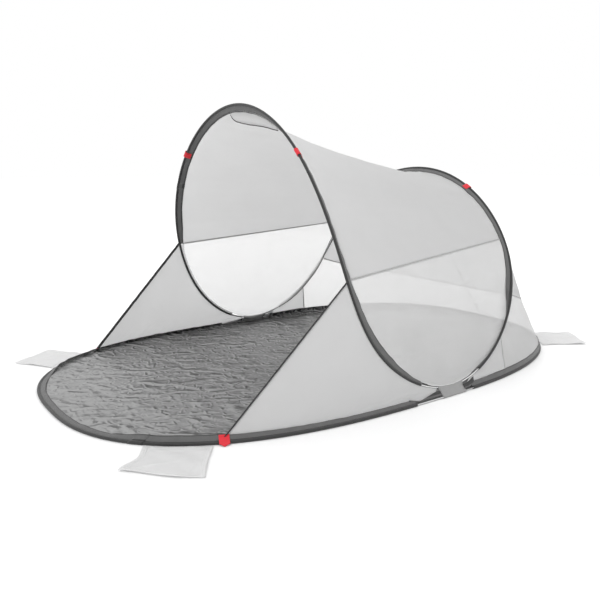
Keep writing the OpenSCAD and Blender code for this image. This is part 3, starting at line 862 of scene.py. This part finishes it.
def canopy_facing():
    """A second ply under the front edge, right of the top, whose free edge hangs a little below. The dark
    strip along that edge is painted shade, the shadow line of a crease.
    """
    u = np.linspace(-0.12, 0.75, 60)
    width = 6 * MM + 28 * MM * np.sin(np.pi * np.linspace(0, 1, 60)**0.65)**0.8
    ends = canopy_surface(u / WINDOW_TOP_FRONT, np.array([0.0, 0.04]))
    back = unit(ends[:, 1] - ends[:, 0])
    down = unit(np.cross(back, np.gradient(ends[:, 0], axis=0)))
    down = np.where(down[:, 2:] > 0, -down, down)
    reach = width[:, None] * np.array([0, 0.3, 0.6, 0.85, 1.0])
    drop = 1.5 * MM + 0.9 * reach**2 / width[:, None]
    grid = ends[:, :1] + reach[..., None] * back[:, None] + drop[..., None] * down[:, None]
    piece = cloth("canopy_facing", grid, 0.7 * MM, CANOPY)
    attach(piece, "front_half")
    edge = unit(grid[:, -1] - grid[:, -2])
    # the dark strip along the free edge is painted shade, the shadow line of a crease
    rows = [grid[:, -1] + step * MM * edge + 0.5 * MM * down for step in (-1.5, 0, 1.5)]
    shade_strip = cloth("canopy_facing_shade_line", np.stack(rows, 1), 2.0 * MM, SLEEVE)
    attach(shade_strip, "front_half")
    return [piece, shade_strip]


facing = canopy_facing()


# ---- side windows, their seam tapes and their hems ----
def window_reach(u):
    start, end = FRONT_SLEEVE_END, REAR_SLEEVE_END
    stations = [start + 0.02, start + 0.15, end - 0.15, end - 0.02]
    return np.interp(u, stations, [TUCK, BARE_REACH, BARE_REACH, TUCK])


def window_rails(side, s):
    """The window's edges on the front and the rear arch. s runs from 0, at the top, to 1, at the bottom."""
    u, v = mix(WINDOW_TOP_FRONT, 3.9, s), mix(WINDOW_TOP_REAR, 4.1, s)
    return hoop_band(front_u(side, u), window_reach(u)), hoop_band(rear_u(side, v), window_reach(v))


def side_window(side, name):
    s, f = np.linspace(0, 1, 90), np.linspace(0, 1, 84)
    front, rear = window_rails(side, s)
    grid = mix(front[:, None], rear[:, None], f[None, :, None])
    x, y = over_and_down(grid)
    rim = smooth(np.minimum(x, x[:, -1:] - x), 0.004, 0.05) * smooth(s, 0, 0.05)[:, None]
    shape = 2.0 * MM * rolling(x, y, 0.3, 60 + side, stretch=2) + 0.6 * MM * rolling(x, y, 0.09, 62 + side)
    gather = pucker(x, y, 0.9 * MM, 0.04, 0.04, 64) + pucker(x[:, -1:] - x, y, 0.9 * MM, 0.04, 0.04, 65)
    relief = shape * rim + gather * smooth(rim, 0, 0.3)
    piece = panel(f"side_window_{name}_net", grid, relief, 0.4 * MM, NET, side)
    set_weights(piece, np.broadcast_to(1 - f, grid.shape[:2]))
    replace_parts(piece, "side_window_" + name)
    return piece


def window_tape(side, name):
    f = np.linspace(0, 1, 110)
    above = canopy_surface(np.array([side * (1 - 0.003)]), f)[0]
    front, rear = window_rails(side, np.array([0.0, 0.005]))
    seam, below = (mix(front[k], rear[k], f[:, None]) for k in (0, 1))
    away = unit(np.cross(seam[-1] - seam[0], above[50] - below[50])) * side
    ripple = 0.5 * MM * wavy(lengths(seam), 0.05, 70 + side)[:, None] * away
    rows = [above, mix(above, seam, 0.6), seam + away * 0.4 * MM, mix(seam, below, 0.4), below]
    grid = np.stack([r + ripple for r in rows], axis=0)
    piece = cloth(f"window_tape_{name}_strip", grid, 1.8 * MM, SEAM, flip=side < 0)
    set_weights(piece, np.broadcast_to(1 - f, grid.shape[:2]))
    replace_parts(piece, "window_tape_" + name)
    rows = [(mix(above, seam, 0.35) + face * 1.0 * MM * away, face * away) for face in (1, -1)]
    return [piece, stitches(f"window_tape_{name}_stitches", rows, THREAD, piece)]


def window_hem(side, name):
    """The white hem along the window's lower edge, between the ends of the two sleeves."""
    u = np.linspace(FRONT_SLEEVE_END + 0.1, REAR_SLEEVE_END - 0.1, 70)
    at = np.where(u < 4, front_u(side, u), rear_u(side, u))
    d = window_reach(u)
    cols = [hoop_band(at, d + w) for w in (-1.5 * MM, 0 * MM, 3 * MM, 6.5 * MM)]
    grid = np.stack(cols, axis=1)
    piece = cloth(f"window_hem_{name}", grid, 1.4 * MM, HEM, flip=side < 0)
    return set_weights(piece)


# how far off the tape's middle a cloth lies on the sleeve's inner face
INNER_FACE = -2.6 * MM


def window_facing(name, end, u, body):
    """A pale tape on the inner face of a sleeve, sewn over the window's edge."""
    d = [CHANNEL_R + 2.5 * MM, 12 * MM, 18 * MM, TAPE_W - 1 * MM]
    rows = [hoop_band(u, np.full(len(u), w), INNER_FACE) for w in d]
    piece = cloth(f"window_facing_{name}_{end}", np.stack(rows, 1), 0.8 * MM, FACING)
    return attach(piece, body)


windows, window_trims = {}, {}
for name, side in SIDES.items():
    windows[name] = side_window(side, name)
    front = front_u(side, np.linspace(WINDOW_TOP_FRONT, FRONT_SLEEVE_END, 80))
    rear = rear_u(side, np.linspace(REAR_SLEEVE_END, WINDOW_TOP_REAR + 0.1, 80))
    window_trims[name] = window_tape(side, name) + [
        window_hem(side, name),
        window_facing(name, "front", front, "front_half"),
        window_facing(name, "rear", rear, "rear_half"),
    ]


# ---- front gussets and the binding on their free edges ----
def ground_reach(t):
    stations = [GAP_FRONT - 1, GAP_FRONT + 1, GAP_REAR - 1, GAP_REAR + 1]
    return np.interp(t, stations, [TUCK, 7 * MM, 7 * MM, TUCK])


def from_arch(arch, low):
    """Where a sheet starts below the arch's wire, on its way to low."""
    return arch + 4 * MM * unit(low - arch)


def gusset_rails(side, a):
    """The gusset's edges on the arch and on the ground. a runs from 0, the free edge, to the side wrap."""
    t = mix(*FRONT_GUSSET, a)
    low = ground_band(side_t(side, t), ground_reach(t))
    top = hoop(front_u(side, mix(WINDOW_TOP_FRONT, FRONT_SLEEVE_END, a)))
    return from_arch(top, low), low


def front_gusset(side, name):
    a, f = np.linspace(0, 1.17, 90), np.linspace(0, 1, 80)
    high, low = gusset_rails(side, a)
    grid = mix(high[:, None], low[:, None], f[None, :, None])
    x, y = over_and_down(grid)
    down = x[:, -1:] - x
    rim = smooth(np.minimum(x, down), 0.004, 0.05) * smooth(a, 0, 0.05)[:, None]
    shape = 1.8 * MM * rolling(x, y, 0.3, 80 + side, stretch=2.4, turn=0.5)
    gather = pucker(down, y, 2.2 * MM, 0.055, 0.035, 82 + side) + pucker(x, y, 0.8 * MM, 0.04, 0.03, 84)
    relief = shape * rim + gather * smooth(rim, 0, 0.25)
    piece = panel(f"front_gusset_{name}_sheet", grid, relief, 0.7 * MM, CANOPY, side)
    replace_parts(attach(piece, "front_half"), "front_gusset_" + name)
    return piece


# how far the tape on a gusset's edge curls out of the gusset's plane
CURL = math.radians(-48)


def front_trim(side, name):
    """A tape folded over the gusset's free edge: flat faces, a round fold, and a slight bulge of piping."""
    (high, high2), (low, low2) = gusset_rails(side, np.array([0, 0.05]))
    along = unit(low - high)
    out = (high - high2 + low - low2) / 2
    out = unit(out - dot(out, along) * along)
    face = np.cross(along, out) * side
    f = np.linspace(0, 1, 130)[:, None, None]
    spine = mix(high - 3 * MM * along, low + 8 * MM * along, f)
    travel = lengths(spine[:, 0])
    ripple = 0.5 * MM * wavy(travel, 0.07, 90 + side)[:, None, None] * face
    section = np.array([(-3, 0.9), (0, 1.2), (3, 1.1), (5, 1.5), (6.4, 1.6), (7.2, 1.1), (7.6, 0)]) * MM
    section = np.concatenate([section, section[-2::-1] * (1, -1)])
    out, face = (math.cos(CURL) * out + math.sin(CURL) * face, math.cos(CURL) * face - math.sin(CURL) * out)
    rings = spine + ripple + section[None, :, :1] * out + section[None, :, 1:] * face
    if side > 0:
        rings = rings[:, ::-1]
    piece = tube(f"front_trim_{name}_binding", rings, TRIM)
    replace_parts(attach(piece, "front_half"), "front_trim_" + name)
    middle = spine[:, 0] + ripple[:, 0] + 1.6 * MM * out
    rows = [(middle + k * 1.15 * MM * face, k * face) for k in (1, -1)]
    return [piece, stitches(f"front_trim_{name}_stitches", rows, THREAD, "front_half")]


gussets, gusset_trims = {}, {}
for name, side in SIDES.items():
    gussets[name] = front_gusset(side, name)
    gusset_trims[name] = front_trim(side, name)


# ---- rear wall ----
def wall(a, v):
    """a runs from -1, left, to 1, right, and v from 0, arch, to 1, ground. v may have a row for each a."""
    low = ground_band(90 - a * (90 - REAR_GUSSET[1]), TUCK)
    high = from_arch(hoop(LAST - a * (LAST - REAR_GUSSET_END)), low)
    v = np.broadcast_to(v, (len(a), np.shape(v)[-1]))[..., None]
    bow = WALL_SAG * 4 * v * (1 - v) * (1 - a * a)[:, None, None] * np.array([0, 0.8, 0.6])
    return mix(high[:, None], low[:, None], v) - bow


# height of the cross seam in the middle, its rise at the sides, and how far across it runs
SEAM_H = 0.2
SEAM_RISE = 0.15
SEAM_SIDE = 0.815


def seam_v(a):
    ends = wall(a, np.array([0.0, 1.0]))
    high, low = ends[:, 0, 2], ends[:, 1, 2]
    return np.maximum(0, (high - (SEAM_H + SEAM_RISE * a * a)) / (high - low))


def wall_panel(name, node, a, start, end, steps, material, thickness, seed):
    v = mix(start[:, None], end[:, None], np.linspace(0, 1, steps)[None, :])
    grid = wall(a, v)
    x, y = over_and_down(grid)
    near = np.minimum(x, x[:, -1:] - x)
    # the seams, round the panel and down its middle, hold it flat
    rim = smooth(near, 0.004, 0.05) * smooth(np.abs(a), 0.01, 0.07)[:, None]
    shape = 2.4 * MM * rolling(x, y, 0.28, seed, stretch=1.8) + 0.7 * MM * rolling(x, y, 0.1, seed + 1)
    gather = pucker(near, y, 1.2 * MM, 0.045, 0.03, seed + 2) * smooth(rim, 0, 0.25)
    piece = panel(name, grid, (shape + gather) * rim, thickness, material)
    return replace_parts(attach(piece, "rear_half"), node)


def wall_strip(name, centre, half, node=None, thickness=1.8 * MM):
    """A tape along a line on the wall. half is the step from its middle to one edge."""
    grid = np.stack([centre - half, centre - half * 0.4, centre + half * 0.4, centre + half], axis=1)
    piece = cloth(name, grid, thickness, SEAM)
    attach(piece, "rear_half")
    if node:
        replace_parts(piece, node)
    out = unit(np.cross(np.gradient(centre, axis=0), half))
    rows = [(centre + half * 0.55 + k * thickness * 0.55 * out, k * out) for k in (1, -1)]
    return [piece, stitches(name + "_stitches", rows, THREAD, "rear_half")]


def rear_wall():
    a = np.linspace(-SEAM_SIDE, SEAM_SIDE, 120)
    top = wall_panel("rear_wall_top_sheet", "rear_wall_top", a, 0 * a, seam_v(a), 60, CANOPY,
                     0.7 * MM, 100)
    a = np.linspace(-1, 1, 160)
    low = wall_panel("rear_window_net", "rear_window", a, seam_v(a), 0 * a + 1, 50, NET,
                     0.4 * MM, 110)
    a = np.linspace(-SEAM_SIDE, SEAM_SIDE, 140)
    line = wall(a, seam_v(a)[:, None])[:, 0]
    below = wall(a, np.minimum(seam_v(a) + 0.02, 1)[:, None])[:, 0]
    cross = wall_strip("rear_seam_strip", line, unit(below - line) * 3 * MM, "rear_seam_tape")
    v = np.linspace(0.01, 0.99, 90)
    line, right = wall(np.array([0.0, 0.01]), v)
    centre = wall_strip("rear_centre_strip", line, unit(right - line) * 2.5 * MM, "rear_centre_tape",
                        2.2 * MM)
    return top, low, cross + centre


rear_top, rear_net, rear_tapes = rear_wall()


def rear_gusset(side, name):
    f = np.linspace(0, 1, 40)
    t = mix(REAR_GUSSET[0] - 3, REAR_GUSSET[1], f)
    low = ground_band(side_t(side, t), ground_reach(t))
    high = from_arch(hoop(rear_u(side, mix(REAR_SLEEVE_END - 0.15, REAR_GUSSET_END, f))), low)
    down = np.linspace(0, 1, 36)
    grid = mix(high[:, None], low[:, None], down[None, :, None])
    x, y = over_and_down(grid)
    rim = smooth(np.minimum(x, x[:, -1:] - x), 0.003, 0.03)
    relief = 1.2 * MM * rolling(x, y, 0.12, 120 + side) * rim
    piece = panel(f"rear_gusset_{name}_sheet", grid, relief, 0.7 * MM, CANOPY, side)
    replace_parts(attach(piece, "rear_half"), "rear_gusset_" + name)
    inner, line = (mix(high[k], low[k], np.linspace(0.02, 0.98, 60)[:, None]) for k in (-2, -1))
    tape = wall_strip(f"rear_gusset_tape_{name}", line, unit(line - inner) * 2.5 * MM)
    return piece, tape


rear_gussets = {name: rear_gusset(side, name) for name, side in SIDES.items()}


# ---- floor: one crinkled sheet that lifts to meet the tape at the front ----
FLOOR_INSET = CHANNEL_R + 1 * MM
FLOOR_Z = 1.0 * MM


def crinkles(x, y):
    """Sharp creases over soft folds, as in a sheet that was coiled up in its bag."""
    bend = 0.03 * rolling(x, y, 0.4, 130)
    px, py = x + bend, y + 0.03 * rolling(x, y, 0.35, 131)
    total = 0
    for wavelength, height, seed in ((0.26, 2.6, 132), (0.12, 2.2, 134), (0.06, 1.5, 136), (0.032, 0.9, 138)):
        fold = np.abs(rolling(px, py, wavelength, seed, stretch=1.5, turn=0.9))
        total = total + height * MM * (1 - np.minimum(fold * 1.6, 1))**1.5
    return total


def floor_sheet():
    rows, cols = 300, 190
    edge = ground(np.linspace(-89.2, 89.2, rows), FLOOR_INSET)
    # its columns are closer together near the sides
    across = 0.35 * np.sin(np.linspace(-np.pi / 2, np.pi / 2, cols)) + 0.65 * np.linspace(-1, 1, cols)
    x = edge[:, :1] * across
    y = np.repeat(edge[:, 1:2] - MIDDLE[1], cols, 1)
    # distance in from the wire, near enough: the superellipse's level at each point
    level = ((np.abs(x) / SEMI_X)**GROUND_POWER + (np.abs(y) / SEMI_Y)**GROUND_POWER)**(1 / GROUND_POWER)
    d = (1 - level) * np.hypot(x, y) / np.maximum(level, 1e-6)
    # it lifts to the tape's edge, lies down again inside, and gathers where it is sewn
    rise = np.radians(np.interp(y, *TAPE_RISE))
    lift = np.minimum(CHANNEL_R + TUCK * np.sin(rise) - 2.2 * MM, 9 * MM) * smooth(-y, 0.2, 0.45)
    hold = smooth(d, 0.008, 0.03) * (1 - smooth(d, 0.036, 0.13))
    loose = smooth(d, 0.03, 0.12)
    turn = np.arctan2(y / SEMI_Y, x / SEMI_X)
    gathers = 2.0 * MM * (1 + wavy(turn * 0.9, 0.09, 140))
    gathers = gathers * smooth(d, 0.02, 0.06) * (1 - smooth(d, 0.07, 0.25))
    z = FLOOR_Z + lift * hold + (crinkles(x, y) + gathers) * loose
    grid = np.stack([x, y + MIDDLE[1], z], -1)
    # a skirt to the ground and a flat underside close it
    bottom = np.stack([grid[:, 0], grid[:, -1]], 1)
    bottom[..., 2] = 0.3 * MM
    first, last = rows * cols, (rows - 1) * cols
    i, j = np.arange(rows - 1), np.arange(cols)
    low = first + 2 * i
    faces = [
        grid_faces(rows, cols),
        np.stack([low, low + 2, low + 3, low + 1], -1),
        np.stack([cols * i, low, low + 2, cols * (i + 1)], -1),
        np.stack([cols * (i + 2) - 1, low + 3, low + 1, cols * (i + 1) - 1], -1),
        np.concatenate([j[::-1], [first, first + 1]])[None, :],
        np.concatenate([last + j, [first + 2 * rows - 1, first + 2 * rows - 2]])[None, :],
    ]
    points = np.concatenate([grid.reshape(-1, 3), bottom.reshape(-1, 3)])
    piece = new_mesh("floor_sheet", points, faces, FLOOR)
    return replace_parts(set_weights(piece), "floor_front", "floor_rear")


floor = floor_sheet()


def floor_binding(side, name, end, t, height):
    """The dark edge of the floor, which shows in the gap of the ground sleeve on each side of the wrap."""
    reach, t = ground_reach(t), side_t(side, t)
    hem, near = ground(t, 15 * MM), ground(t, 9 * MM)
    hem[:, 2], near[:, 2] = 2.2 * MM, 6 * MM
    low = ground_band(t, reach, 2.4 * MM)
    high = hoop_at(low[:, 1]) * (side, 1, 1) + 2.4 * MM * np.array([side, 0, 0])
    up = unit(high - low) * height[:, None]
    grid = np.stack([hem, near, low, low + up / 2, low + up], 1)
    piece = cloth(f"floor_binding_{name}_{end}", grid, 1.2 * MM, SLEEVE, flip=side < 0)
    return set_weights(piece)


def floor_lip(name, first, last, body):
    """The floor's edge, which turns up over the inner face of the sleeve's tape."""
    t = np.linspace(first, last, 260)
    foot, ramp = ground(t, 48 * MM), ground(t, 30 * MM)
    foot[:, 2], ramp[:, 2] = 3 * MM, 6 * MM
    rows = [foot, ramp] + [ground_band(t, d, INNER_FACE) for d in (12 * MM, TAPE_W - 3 * MM)]
    rows = [mix(rows[k], rows[k + 1], f) for k in range(3) for f in (0, 0.25, 0.5, 0.75)] + [rows[-1]]
    grid = np.stack(rows, 1)
    row = np.arange(len(rows))
    ripple = wavy(lengths(ground(t))[:, None] + 0.02 * row, 0.05, 150)
    grid[..., 2] += 1.6 * MM * ripple * np.sin(np.pi * row / row[-1])
    piece = cloth("floor_lip_" + name, grid, 0.7 * MM, FLOOR)
    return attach(piece, body)


for name, side in SIDES.items():
    t = np.linspace(GAP_FRONT - 1, 2.8, 30)
    floor_binding(side, name, "front", t, mix(2, 19, smooth(t, -4, 2.8)) * MM)
    t = np.linspace(8.8, GAP_REAR + 1, 24)
    floor_binding(side, name, "rear", t, np.full(24, 17 * MM))
floor_lip("front", -180 - GAP_FRONT, GAP_FRONT, "front_half")
floor_lip("rear", GAP_REAR, 180 - GAP_REAR, "rear_half")


# ---- red webbing tabs ----
TAB_W = 32 * MM
LOOP_W = 26 * MM
TAB_T = 1.5 * MM
FRONT_TAB_AT = 1.15
REAR_TAB_AT = 7.08
GROUND_TAB_AT = -39.5
# how far a ground tab turns down from the ground's plane once it is over the wire
OVER_WIRE = math.radians(22)


def one_frame(run, at):
    """A hoop's frame at a single place."""
    return (v[0] for v in run(np.array([float(at)])))


def loop_path():
    """Both sides of a loop that stands off the wire, as (along the tape, across it)."""
    half = np.array([(20, 2.3), (16, 2.6), (10, 4), (5, 5.9), (0, 6.8), (-4.5, 6.2), (-7.5, 4), (-8.8, 1.5)])
    return np.concatenate([half, half[::-1] * (1, -1)]) * MM


def ground_tab_path(at):
    """One ply on the tape, then over the wire and down to the ground outside it."""
    _, tape, _, _ = one_frame(ground_frame, at)
    turn = OVER_WIRE - math.asin(tape[2])
    past = np.array([(-3, 6.2), (-10, 6), (-16, 5.6), (-21.5, 5)])
    past = past @ np.array([(math.cos(turn), math.sin(turn)), (-math.sin(turn), math.cos(turn))])
    return np.concatenate([[(24, 2.3), (16, 2.6), (9, 4.4), (4, 5.9)], past]) * MM


def tab(name, run, at, body, path, half_w, tip=0.0):
    """Webbing sewn to the sleeve tape. tip is the length of its point."""
    place, tape, out, along = one_frame(run, at)
    fine = np.linspace(0, len(path) - 1, 70)
    path = np.stack([np.interp(fine, range(len(path)), path[:, k]) for k in (0, 1)], -1)
    for _ in range(6):
        path[1:-1] = (path[:-2] + 2 * path[1:-1] + path[2:]) / 4
    travel = lengths(path)
    width = half_w * np.clip((travel[-1] - travel) / tip, 0.05, 1) if tip else np.full(len(path), half_w)
    q = np.linspace(-1, 1, 15)
    grid = (place + path[:, None, :1] * tape + path[:, None, 1:] * out
            + (width[:, None] * q[None, :])[..., None] * along)
    piece = cloth(name + "_webbing", grid, TAB_T, RED)
    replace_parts(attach(piece, body), name)
    rows = []
    for face in ((1,) if tip else (1, -1)):
        for d in (18 * MM, 15 * MM):
            line = place + d * tape + face * (2.6 * MM + TAB_T / 2) * out + 0.85 * half_w * q[:, None] * along
            rows.append((line, face * out))
    stitches(name + "_stitches", rows, RED_THREAD, body)


for name, side in SIDES.items():
    tab("front_tab_" + name, hoop_frame, front_u(side, FRONT_TAB_AT), "front_half", loop_path(), LOOP_W / 2)
    tab("rear_tab_" + name, hoop_frame, rear_u(side, REAR_TAB_AT), "rear_half", loop_path(), LOOP_W / 2)
    at = side_t(side, GROUND_TAB_AT)
    tab("ground_tab_" + name, ground_frame, at, "front_half", ground_tab_path(at), TAB_W / 2, 11 * MM)


# ---- sand flaps ----
FLAP_W = 205 * MM
FLAP_L = 192 * MM
HEM_W = 14 * MM
HEM_STEP = 0.8 * MM
FRONT_FLAP_AT = -47
REAR_FLAP_AT = 57
REAR_FLAP_SKEW = 35 * MM
# how far the right flaps' outer corners are pulled, along the hoop and out from it
FRONT_EAR = (-32 * MM, -38 * MM)
REAR_EAR = (-14 * MM, 6 * MM)


def sand_flap(node, at, skew, seed, ear):
    """A hemmed pocket of cloth that lies on the ground, as its CAD node does. ear pulls one corner."""
    place, _, _, along = one_frame(ground_frame, at)
    out = np.array([along[1], -along[0], 0])
    hem = np.array([HEM_W, HEM_W + HEM_STEP]) / FLAP_W
    fine = np.sort(np.concatenate([np.linspace(0, 1, 44), hem, 1 - hem]))
    p, q = np.meshgrid(fine, fine, indexing="ij")
    across, away = (p - 0.5) * FLAP_W, q * FLAP_L
    # the edge is pulled in a little between the corners
    tug = 4 * MM * np.sin(np.pi * q) * (2 * p - 1)
    corner = smooth(1 - p, 0.3, 1) * smooth(q, 0.3, 1)
    grid = (place + (CHANNEL_R + 2 * MM + away + ear[1] * corner)[..., None] * out
            + (across - tug + skew * q + ear[0] * corner)[..., None] * along)
    edge = np.minimum.reduce([across + FLAP_W / 2, FLAP_W / 2 - across, FLAP_L - away])
    ply = HEM_STEP * (edge < HEM_W + HEM_STEP / 2)
    roll = 3.2 * MM * (1 + rolling(across, away, 0.13, seed, stretch=1.7, turn=0.7)) * smooth(away, 0.0, 0.06)
    crease = 1.6 * MM * (1 - np.minimum(np.abs(rolling(across, away, 0.16, seed + 1, turn=0.9)) * 5, 1))
    grid[..., 2] = 1.2 * MM + ply + roll + crease * smooth(edge, 0, 0.03)
    piece = cloth(node + "_cloth", grid, 0.9 * MM, FLAP, flip=True)
    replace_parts(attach(piece, node), node)
    # one row of stitches along the middle of the hem on three sides
    up = np.array([0, 0, 1.0])
    low, high = (int(np.argmin(np.abs(fine - where))) for where in (0.8 * hem[0], 1 - 0.8 * hem[0]))
    lines = (grid[low, :high], grid[high, :high], grid[low:high, high])
    rows = [(line + 0.5 * MM * up, up) for line in lines]
    return piece, stitches(node + "_stitches", rows, LIGHT_THREAD, node)


for name, side in SIDES.items():
    front_ear, rear_ear = (FRONT_EAR, REAR_EAR) if side > 0 else ((0, 0), (0, 0))
    sand_flap("sand_flap_front_" + name, side_t(side, FRONT_FLAP_AT), 0, 200 + side, front_ear)
    sand_flap("sand_flap_rear_" + name, side_t(side, REAR_FLAP_AT), side * REAR_FLAP_SKEW,
                           210 + side, rear_ear)


# ---- stage and light ----
def stage():
    corners = [(-30, -30, -0.0005), (30, -30, -0.0005), (30, 30, -0.0005), (-30, 30, -0.0005)]
    n = Nodes("stage_floor")
    n.finish(n.add("BsdfPrincipled", {
        "Base Color": (0.93, 0.93, 0.93, 1), "Roughness": 0.9, "Specular IOR Level": 0.0,
    }))
    new_mesh("stage_floor", corners, np.array([[0, 1, 2, 3]]), n.material)


def lamp(name, kind, at, towards, power, **settings):
    data = bpy.data.lights.new(name, kind)
    data.energy = power
    for key, value in settings.items():
        setattr(data, key, value)
    aimed(name, data, at, towards)


def studio():
    world = bpy.data.worlds.new("studio")
    bpy.context.scene.world = world
    world.use_nodes = True
    back = world.node_tree.nodes["Background"]
    back.inputs["Color"].default_value = (1, 1, 1, 1)
    back.inputs["Strength"].default_value = 1.0
    # the key also keeps the floor white out to the horizon
    lamp("key", "SUN", (0, 0, 0), (-0.5, 1.0, -1.6), 0.7, angle=math.radians(50))
    lamp("rim", "AREA", (-3.5, 3.0, 3.5), (3.5, -3.0, -3.2), 60, shape="DISK", size=2.5)
    bpy.context.scene.view_settings.view_transform = "Standard"


stage()
studio()
